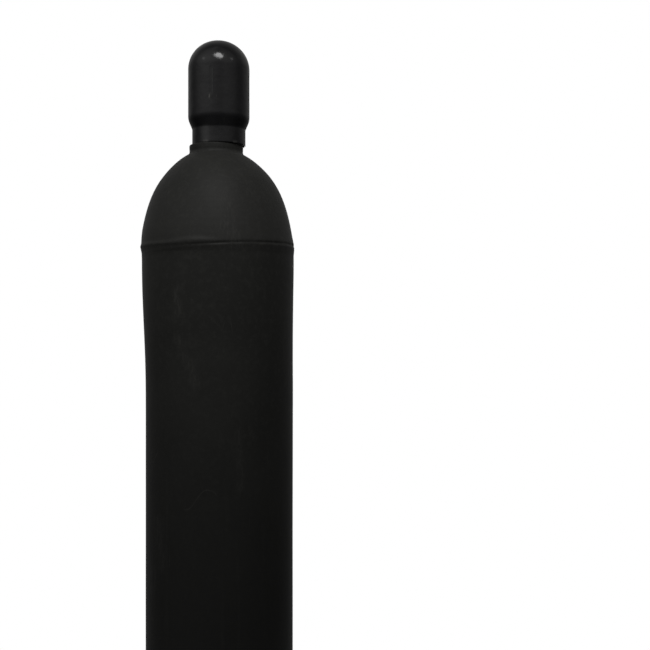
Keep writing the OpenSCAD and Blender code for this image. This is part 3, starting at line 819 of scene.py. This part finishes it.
class Nodes:
    """A node tree, with short calls for the nodes that the room and the materials need."""

    def __init__(self, tree):
        self.tree = tree

    def add(self, kind, **settings):
        node = self.tree.nodes.new(kind)
        for key, value in settings.items():
            setattr(node, key, value)
        return node

    def link(self, value, socket):
        if isinstance(value, bpy.types.NodeSocket):
            self.tree.links.new(value, socket)
        else:
            socket.default_value = value

    def math(self, operation, a, b=0.0):
        node = self.add("ShaderNodeMath", operation=operation)
        self.link(a, node.inputs[0])
        self.link(b, node.inputs[1])
        return node.outputs[0]

    def times(self, a, b):
        return self.math("MULTIPLY", a, b)

    def axes(self, vector):
        """The X, Y and Z of a vector."""
        split = self.add("ShaderNodeSeparateXYZ")
        self.link(vector, split.inputs[0])
        return split.outputs

    def fork(self, share, first, second, end):
        """Mixes two shaders' outputs into the socket end."""
        node = self.add("ShaderNodeMixShader")
        for socket, value in zip(node.inputs, (share, first, second)):
            self.link(value, socket)
        self.link(node.outputs[0], end)


class Paint(Nodes):
    """A material with a Principled shader, a running colour, and calls for its patterns."""

    def __init__(self, name):
        self.material = bpy.data.materials.new(name)
        self.material.use_nodes = True
        super().__init__(self.material.node_tree)
        self.shader = self.tree.nodes["Principled BSDF"]
        self.place = self.add("ShaderNodeTexCoord").outputs["Object"]

    def stretched(self, x, y, z):
        """The place on the surface with each axis scaled, for streaks and bands."""
        node = self.add("ShaderNodeMapping")
        self.link(self.place, node.inputs["Vector"])
        node.inputs["Scale"].default_value = (x, y, z)
        return node.outputs[0]

    def noise(self, scale, detail=3, roughness=0.5, at=None, distortion=0):
        node = self.add("ShaderNodeTexNoise")
        self.link(at or self.place, node.inputs["Vector"])
        settings = zip(("Scale", "Detail", "Roughness", "Distortion"), (scale, detail, roughness, distortion))
        for socket, number in settings:
            node.inputs[socket].default_value = number
        return node.outputs["Fac"]

    def hairlines(self, scale, width, at):
        """Long thin wandering lines."""
        off = self.math("ABSOLUTE", self.math("SUBTRACT", self.noise(scale, 1, 0.4, at), 0.5))
        return self.steps(off, width, width / 3)

    def steps(self, value, low, high, to_low=0.0, to_high=1.0):
        """Maps low..high smoothly onto to_low..to_high, and clamps."""
        node = self.add("ShaderNodeMapRange", interpolation_type="SMOOTHSTEP")
        self.link(value, node.inputs["Value"])
        for socket, number in zip(("From Min", "From Max", "To Min", "To Max"), (low, high, to_low, to_high)):
            node.inputs[socket].default_value = number
        return node.outputs["Result"]

    def patches(self, scale, low, high, detail=3, roughness=0.5, stretch=None):
        """Soft-edged patches where the noise is above low."""
        at = self.stretched(*stretch) if stretch else None
        return self.steps(self.noise(scale, detail, roughness, at), low, high)

    def less(self, a):
        """1 less a."""
        return self.math("SUBTRACT", 1.0, a)

    def plus(self, a, b):
        return self.math("ADD", a, b)

    def either(self, a, b):
        return self.math("MAXIMUM", a, b)

    def mix(self, low, high, share):
        """A colour between two colours."""
        node = self.add("ShaderNodeMix", data_type="RGBA")
        self.link(share, node.inputs["Factor"])
        colours = [s for s in node.inputs if s.type == "RGBA"]
        for socket, value in zip(colours, (low, high)):
            self.link(value if isinstance(value, bpy.types.NodeSocket) else (*value, 1), socket)
        return [s for s in node.outputs if s.type == "RGBA"][0]

    def coat(self, colour, share):
        """Lays a share of one more colour over the surface."""
        self.colour = self.mix(self.colour, colour, share)

    def field(self, name):
        return self.add("ShaderNodeAttribute", attribute_name=name).outputs["Fac"]

    def up(self):
        """How far the surface faces upwards."""
        return self.axes(self.add("ShaderNodeNewGeometry").outputs["Normal"])["Z"]

    def axis(self, name):
        return self.axes(self.place)[name]

    def upright_mark(self, x, low, high, half, blur):
        """A straight upright mark on the cap's front. Millimetres, with heights over the cap's underside."""
        off = self.math("ABSOLUTE", self.math("SUBTRACT", self.axis("X"), x * MM))
        across = self.steps(off, half * MM, (half + blur) * MM, 1.0, 0.0)
        z, fade = self.axis("Z"), 6
        low, high = low + CAP_Z, high + CAP_Z
        along = self.times(self.steps(z, low * MM, (low + fade) * MM),
                           self.steps(z, (high - fade) * MM, high * MM, 1.0, 0.0))
        return self.times(self.times(across, along), self.steps(self.axis("Y"), -0.01, 0.0, 1.0, 0.0))

    def set(self, **values):
        for key, value in values.items():
            socket = self.shader.inputs[key.replace("_", " ")]
            self.link((*value, 1) if isinstance(value, tuple) else value, socket)

    def bump(self, *layers):
        """Layers are (height, depth in metres)."""
        normal = None
        for value, depth in layers:
            node = self.add("ShaderNodeBump")
            node.inputs["Strength"].default_value = 1
            node.inputs["Distance"].default_value = depth
            self.link(value, node.inputs["Height"])
            if normal:
                self.link(normal, node.inputs["Normal"])
            normal = node.outputs[0]
        self.link(normal, self.shader.inputs["Normal"])


def shell_paint():
    p = Paint("satin_black_paint")
    cloud = p.noise(7, 4, 0.6)
    fine = p.noise(260, 3, 0.6)
    p.colour = p.mix((0.0220, 0.0221, 0.0202), (0.0290, 0.0292, 0.0266), p.steps(cloud, 0.35, 0.68))
    p.coat((0.046, 0.046, 0.042), p.times(p.steps(fine, 0.52, 0.75), 0.35))
    # painted highlight: the shoulder above the ridge made paler where the key light's sheen falls
    p.coat((0.090, 0.089, 0.084), p.times(p.field("shoulder_painted_light"), 0.15))
    mottle = p.noise(110, 4, 0.6)
    p.coat((0.052, 0.052, 0.048), p.times(p.steps(mottle, 0.48, 0.66), 0.22))
    # dust that has settled on the shoulder, thinner where it has run off
    run = p.noise(30, 3, 0.55, p.stretched(1.5, 1.5, 0.16))
    dust = p.times(p.steps(p.up(), 0.10, 0.95), p.steps(run, 0.30, 0.66, 0.5, 1.0))
    p.coat((0.075, 0.074, 0.067), p.times(dust, 0.07))
    # painted shade: the body's colour darkens towards its bottom
    p.coat((0.0070, 0.0070, 0.0064), p.steps(p.axis("Z"), 0.58, 1.26, 0.85, 0.0))  # painted shade: darker low down, where less of the light from above falls
    # long runs and rubbed streaks down the body
    streak = p.patches(34, 0.58, 0.74, 4, 0.62, (1, 1, 0.035))
    p.coat((0.040, 0.040, 0.036), p.times(streak, 0.22))
    # scuffs and hairline scratches from handling
    grit = p.patches(300, 0.45, 0.62, 4, 0.7, (1, 1, 0.2))
    scuff = p.times(p.patches(16, 0.64, 0.74, 3, 0.5, (1, 1, 0.35)), grit)
    scratch = p.times(p.hairlines(13, 0.0022, p.stretched(1, 1, 0.22)), p.patches(19, 0.56, 0.68, 2))
    marks = p.either(p.times(scuff, 0.13), p.times(scratch, 0.14))
    marks = p.either(marks, p.times(p.times(p.field("scuff"), p.steps(grit, 0.0, 1.0, 0.25, 1.0)), 0.22))
    p.coat((0.115, 0.113, 0.105), marks)
    # paint rubbed through on the ridge, the collar's edge and the foot, with rust creeping in at the foot
    chip_noise = p.noise(420, 5, 0.7)
    ends = p.either(p.times(p.field("collar"), 0.55), p.field("foot"))
    worn = p.either(p.times(p.field("edge"), 0.44), ends)
    bare = p.steps(p.plus(worn, p.times(chip_noise, 0.9)), 1.02, 1.16)
    rust = p.times(p.steps(p.plus(p.field("foot"), p.times(p.noise(120, 4, 0.65), 0.8)), 0.92, 1.25),
                   p.patches(60, 0.35, 0.6))
    p.coat((0.110, 0.052, 0.026), p.times(rust, 0.8))
    p.coat((0.20, 0.195, 0.185), p.times(bare, 0.85))
    p.coat((0.045, 0.040, 0.034), p.field("inside"))
    rough = p.plus(p.steps(cloud, 0.3, 0.7, 0.51, 0.59), p.times(fine, 0.06))
    rough = p.plus(rough, p.times(dust, 0.08))
    rough = p.math("SUBTRACT", rough, p.times(bare, 0.12))
    p.set(Base_Color=p.colour, Roughness=rough, Metallic=p.times(bare, 0.6), Specular_IOR_Level=0.25,
          Sheen_Weight=0.14, Sheen_Roughness=0.30)
    peel = p.noise(750, 2, 0.5)
    bands = p.noise(1, 2, 0.5, p.stretched(6, 6, 420))
    rings = p.times(bands, p.times(p.field("spin"), p.steps(cloud, 0.4, 0.6)))
    dents = p.noise(28, 2, 0.5)
    p.bump((dents, 0.0005), (rings, 0.00010), (peel, 0.000045), (p.less(bare), 0.00010))
    return p.material


def cap_enamel():
    p = Paint("gloss_black_enamel")
    cloud = p.noise(18, 4, 0.6)
    fine = p.noise(480, 3, 0.6)
    p.colour = p.mix((0.0070, 0.0070, 0.0078), (0.0105, 0.0105, 0.0115), p.steps(cloud, 0.35, 0.68))
    dust = p.times(p.steps(p.up(), 0.35, 1.0), p.patches(55, 0.42, 0.7, 4, 0.6))
    p.coat((0.06, 0.058, 0.052), p.times(dust, 0.10))
    rub = p.times(p.patches(42, 0.58, 0.7, 4, 0.6, (1, 1, 0.25)), p.steps(fine, 0.4, 0.6))
    scratch = p.times(p.hairlines(30, 0.004, p.stretched(1, 1, 0.3)), p.patches(30, 0.54, 0.66, 2))
    p.coat((0.045, 0.045, 0.047), p.either(p.times(rub, 0.12), p.times(scratch, 0.30)))
    chip_noise = p.noise(520, 5, 0.7)
    bare = p.steps(p.plus(p.either(p.times(p.field("edge"), 0.50), p.times(p.field("skirt"), 0.42)),
                          p.times(chip_noise, 0.9)), 1.02, 1.12)
    p.coat((0.20, 0.195, 0.19), p.times(bare, 0.8))
    p.coat((0.48, 0.475, 0.46), p.times(p.field("inside"), 0.9))
    # a long shallow dent on the front, a painted highlight line along its edge, and two painted glints at its
    # lower end, drawn as pale spots
    dent = p.upright_mark(-7.8, 70, 120, 0.4, 2.8)
    rubbed_and_highlight = p.upright_mark(-4.9, 71.5, 117, 0.2, 0.7)
    chips_and_glints = p.either(p.upright_mark(-9.9, 65, 75, 0.3, 1.5),
                     p.times(p.upright_mark(1.3, 66, 74, 0.2, 1.2), 0.35))
    # painted highlight: the pale line beside the dent
    p.coat((0.075, 0.075, 0.075), p.times(rubbed_and_highlight, p.steps(p.noise(160, 3), 0.35, 0.6, 0.06, 0.32)))
    # painted glints: the two pale spots at the dent's lower end
    p.coat((0.22, 0.215, 0.20), p.times(chips_and_glints, 0.48))
    # and the skirt's rim rubbed pale in two places, worn paint that also serves as painted glints, with a
    # faint painted reflection band up the skirt over one of them
    # worn rim spots, also painted glints
    rim = p.either(p.upright_mark(-16.7, -9, 6.5, 1.5, 4.5), p.upright_mark(28.7, -9, 5.5, 1.2, 4.0))
    p.coat((0.22, 0.215, 0.20), p.times(rim, p.steps(p.noise(260, 4, 0.65), 0.36, 0.62, 0.10, 0.42)))
    # painted reflection: a faint pale band up the skirt, as a soft box to the left would show
    p.coat((0.075, 0.075, 0.075), p.times(p.upright_mark(-17.0, -9, 30, 1.0, 8.5), 0.30))
    rough = p.plus(p.steps(cloud, 0.3, 0.7, 0.15, 0.22), p.times(rub, 0.14))
    rough = p.plus(rough, p.times(dust, 0.10))
    rough = p.plus(rough, p.plus(p.times(bare, 0.22), p.times(p.field("inside"), 0.3)))
    p.set(Base_Color=p.colour, Roughness=rough, Metallic=p.times(bare, 0.6), Specular_IOR_Level=0.5)
    uneven, peel = p.noise(60, 2), p.noise(650, 2)
    p.bump((uneven, 0.00055), (p.less(dent), 0.00016), (peel, 0.00003), (p.less(bare), 0.00008))
    return p.material


def plain_paint(name, dark, light, rough, wear):
    """Sprayed paint on the smaller parts, with handling marks on what stands out."""
    p = Paint(name)
    cloud, fine = p.noise(45, 4, 0.6), p.noise(700, 4, 0.65)
    p.colour = p.mix(dark, light, p.steps(cloud, 0.35, 0.68))
    chips_and_glints = p.steps(p.plus(p.noise(170, 5, 0.68), p.times(cloud, 0.35)), 0.78, 0.83)
    rubbed_and_highlight = p.steps(p.plus(p.times(p.field("edge"), 0.62), p.times(p.noise(240, 4, 0.65), 0.8)), 0.92, 1.12)
    worn = p.either(chips_and_glints, rubbed_and_highlight)
    p.coat((0.24, 0.235, 0.22), p.times(worn, wear))
    level = p.plus(p.steps(cloud, 0.3, 0.7, rough, rough + 0.1), p.times(worn, 0.1))
    p.set(Base_Color=p.colour, Roughness=level, Metallic=p.times(worn, wear * 0.7), Specular_IOR_Level=0.5)
    p.bump((p.noise(900, 2), 0.00003), (fine, 0.00002))
    return p.material


def metal(name, dark, light, rough, turned_marks, stain, stain_share):
    """Machined or forged metal: fine grain, tool marks round the axis and dull stains."""
    p = Paint(name)
    cloud, fine = p.noise(85, 4, 0.6), p.noise(1500, 3, 0.6)
    p.colour = p.mix(dark, light, p.steps(p.plus(cloud, p.times(fine, 0.25)), 0.42, 0.82))
    tarnish = p.times(p.steps(p.noise(120, 5, 0.65, distortion=0.6), 0.50, 0.70), stain_share)
    p.coat(stain, tarnish)
    marks = p.noise(1, 3, 0.6, p.stretched(90, 90, turned_marks))
    level = p.plus(p.steps(fine, 0.3, 0.7, rough, rough + 0.10), p.times(tarnish, 0.25))
    p.set(Base_Color=p.colour, Roughness=p.plus(level, p.times(marks, 0.06)), Metallic=1.0)
    p.bump((marks, 0.00003), (fine, 0.000012))
    return p.material


def soft_part(name, dark, light, rough, scatter=0.0):
    """Moulded plastic, tape and rubber."""
    p = Paint(name)
    cloud, fine = p.noise(140, 4, 0.6), p.noise(1700, 3, 0.6)
    p.colour = p.mix(dark, light, p.steps(p.plus(cloud, p.times(fine, 0.2)), 0.4, 0.8))
    p.set(Base_Color=p.colour, Roughness=p.steps(fine, 0.3, 0.7, rough, rough + 0.12), Specular_IOR_Level=0.4,
          Subsurface_Weight=scatter, Subsurface_Scale=0.001)
    p.bump((fine, 0.00002))
    return p.material


def paint_all(shell, ring, cap, valve, wheel, spring):
    brass = metal("forged_brass", (0.42, 0.27, 0.085), (0.60, 0.41, 0.16),
                  0.30, 900, (0.16, 0.095, 0.04), 0.75)
    steel = metal("zinc_plated_steel", (0.42, 0.42, 0.42), (0.62, 0.62, 0.60),
                  0.26, 1400, (0.30, 0.28, 0.24), 0.5)
    dull = metal("dull_brass", (0.14, 0.105, 0.060), (0.23, 0.175, 0.105),
                 0.50, 900, (0.085, 0.065, 0.045), 0.7)
    oiled = metal("oiled_steel", (0.10, 0.10, 0.10), (0.17, 0.17, 0.165),
                  0.34, 1400, (0.09, 0.075, 0.06), 0.5)
    copper = metal("annealed_copper", (0.46, 0.18, 0.09), (0.66, 0.30, 0.17),
                   0.34, 900, (0.20, 0.09, 0.06), 0.6)
    nylon = soft_part("natural_nylon", (0.62, 0.60, 0.52), (0.74, 0.72, 0.65), 0.40, 0.15)
    rubber = soft_part("seal_rubber", (0.012, 0.012, 0.012), (0.022, 0.022, 0.022), 0.50)
    ring_paint = plain_paint("ring_black_paint", (0.014, 0.014, 0.013), (0.024, 0.024, 0.022), 0.38, 0.55)
    wheel_paint = plain_paint("wheel_grey_paint", (0.085, 0.086, 0.085), (0.130, 0.131, 0.128), 0.38, 0.6)
    for piece, material in [(shell, shell_paint()), (ring, ring_paint), (cap, cap_enamel()), (valve, brass),
                            (wheel, wheel_paint), (spring, oiled)]:
        piece.data.materials.clear()
        piece.data.materials.append(material)
    for slot, material, nodes in [
        ("brass", brass, ["seat_plug", "relief_plug"]),
        ("brass", dull, ["bonnet_nut"]),
        ("steel", steel, ["stem", "rupture_disc"]),
        ("steel", oiled, ["wheel_washer", "wheel_nut"]),
        ("copper", copper, ["bonnet_gasket", "relief_gasket"]),
        ("nylon", nylon, ["thread_tape", "seat_insert", "thrust_washer", "backup_ring", "bearing_washer"]),
        ("rubber", rubber, ["stem_oring"]),
    ]:
        for name in nodes:
            dress_node(frame["nodes"][name], material)


def dress_node(node, material):
    """A CAD node keeps its mesh: its edges are turned and it gets its material."""
    node.data.materials.clear()
    node.data.materials.append(material)
    weld = node.modifiers.new("weld", "WELD")
    weld.merge_threshold = 0.00001
    if node.name not in ("stem_oring", "thread_tape"):
        bevel = node.modifiers.new("turned_edges", "BEVEL")
        bevel.width, bevel.segments = 0.18 * MM, 2
        bevel.limit_method, bevel.angle_limit = "ANGLE", math.radians(38)
        bevel.harden_normals = False
    node.data.shade_smooth()
    smooth = node.modifiers.new("shading", "WEIGHTED_NORMAL")
    smooth.keep_sharp = True


# ---- floor, light and air

def add_floor():
    """A pale disc that fades out at its rim. It hardly shows in the paint, which sees the room instead."""
    rings, columns, radius = 40, 128, 1.5
    radii = np.linspace(0.1, radius / MM, rings + 1)
    theta = np.arange(columns) * TAU / columns
    points = polar(radii[:, None], theta, 0.0).reshape(-1, 3)
    floor = new_object("floor", points, [*map(tuple, grid_faces(len(radii), columns)), tuple(range(columns))])
    p = Paint("pale_floor")
    colour = p.mix((0.66, 0.66, 0.65), (0.72, 0.72, 0.71), p.noise(3, 4, 0.6))
    p.set(Base_Color=colour, Roughness=0.85, Specular_IOR_Level=0.2, Emission_Color=(1.0, 1.0, 0.99),
          Emission_Strength=0.34)
    distance = p.add("ShaderNodeVectorMath", operation="LENGTH")
    p.link(p.place, distance.inputs[0])
    seen = p.add("ShaderNodeLightPath").outputs["Is Camera Ray"]
    past_rim = p.steps(distance.outputs["Value"], 0.6, 1.45)
    faded = p.either(past_rim, p.times(p.less(seen), 0.85))
    clear = p.add("ShaderNodeBsdfTransparent").outputs[0]
    p.fork(faded, p.shader.outputs[0], clear, p.tree.nodes["Material Output"].inputs["Surface"])
    floor.data.materials.append(p.material)


ROOM_ROUND = [  # radiance of the room by bearing: 0 is the camera's side, 90 is towards +X
    (-180, 0.22), (-139, 0.235), (-122, 0.18), (-99, 0.14), (-77, 0.33), (-50, 0.50), (-22, 0.44), (-2, 0.34),
    (12, 0.30), (30, 0.35), (46, 0.32), (67, 0.23), (86, 0.12), (107, 0.15), (135, 0.215), (180, 0.22),
]
ROOM_RISE = [  # and its share by elevation
    (-90, 0.10), (-34, 0.17), (-18, 0.14), (0, 0.38), (13, 0.85), (28, 1.20), (42, 1.05), (68, 0.62),
    (90, 0.50),
]


def room_level(n, value, stops):
    """Runs smoothly through the (value, level) stops."""
    first, last = stops[0][0], stops[-1][0]
    top = max(level for _, level in stops)
    node = n.add("ShaderNodeValToRGB")
    node.color_ramp.interpolation = "CARDINAL"
    elements = node.color_ramp.elements
    while len(elements) < len(stops):
        elements.new(1)
    for element, (at, level) in zip(elements, stops):
        element.position = (at - first) / (last - first)
        element.color = (level / top, level / top, level / top, 1)
    n.link(n.math("DIVIDE", n.math("SUBTRACT", value, first), last - first), node.inputs["Fac"])
    return n.times(node.outputs["Color"], top)


def add_world():
    """White behind the object for the camera, and for everything else a soft dim room with a dark floor."""
    world = bpy.data.worlds.new("studio")
    bpy.context.scene.world = world
    world.use_nodes = True
    world.node_tree.nodes.clear()
    n = Nodes(world.node_tree)
    where = n.axes(n.add("ShaderNodeTexCoord").outputs["Generated"])
    bearing = n.math("DEGREES", n.math("ARCTAN2", where["X"], n.times(where["Y"], -1)))
    elevation = n.math("DEGREES", n.math("ARCSINE", where["Z"]))
    room, white = n.add("ShaderNodeBackground"), n.add("ShaderNodeBackground")
    strength = n.times(room_level(n, bearing, ROOM_ROUND), room_level(n, elevation, ROOM_RISE))
    n.link(strength, room.inputs["Strength"])
    room.inputs["Color"].default_value = (1.0, 0.995, 0.985, 1)
    white.inputs["Color"].default_value = (1, 1, 1, 1)
    seen = n.add("ShaderNodeLightPath").outputs["Is Camera Ray"]
    n.fork(seen, room.outputs[0], white.outputs[0], n.add("ShaderNodeOutputWorld").inputs["Surface"])


def add_light(name, bearing, elevation, distance, size, power, aim_z, shape="RECTANGLE", roll=0, glossy=True):
    """A soft box. Bearing 0 is on the camera's side, and 90 is towards +X."""
    data = bpy.data.lights.new(name, "AREA")
    data.shape, (data.size, data.size_y), data.energy = shape, size, power
    light = bpy.data.objects.new(name, data)
    b, e = math.radians(bearing), math.radians(elevation)
    offset = Vector((math.sin(b) * math.cos(e), -math.cos(b) * math.cos(e), math.sin(e))) * distance
    light.location = Vector((0, 0, aim_z)) + offset
    turn = offset.to_track_quat("Z", "Y").to_matrix() @ Matrix.Rotation(roll, 3, "Z")
    light.rotation_euler = turn.to_euler()
    light.visible_camera = False
    bpy.context.scene.collection.objects.link(light)
    light.visible_glossy = glossy


def light_scene():
    bpy.context.scene.view_settings.view_transform = "Standard"
    add_world()
    add_light("key_box", 5, 44, 1.25, (0.60, 0.46), 4.8, 1.49, "ELLIPSE", math.radians(-16))
    add_light("left_lamp", -58, 30, 2.2, (0.24, 0.18), 0.17, 1.48, "ELLIPSE")
    add_light("right_lamp", 58, 31, 2.2, (0.24, 0.18), 0.24, 1.48, "ELLIPSE")
    add_light("back_box", 186, 0, 1.5, (0.28, 0.8), 6, 0.72)
    add_light("back_fill", 180, 14, 2.4, (0.9, 1.6), 34, 0.8, glossy=False)


shell = make_shell()
neck_ring = make_neck_ring()
cap = make_cap()
valve = make_valve()
handwheel = make_handwheel()
spring = make_spring()
paint_all(shell, neck_ring, cap, valve, handwheel, spring)
add_floor()
light_scene()
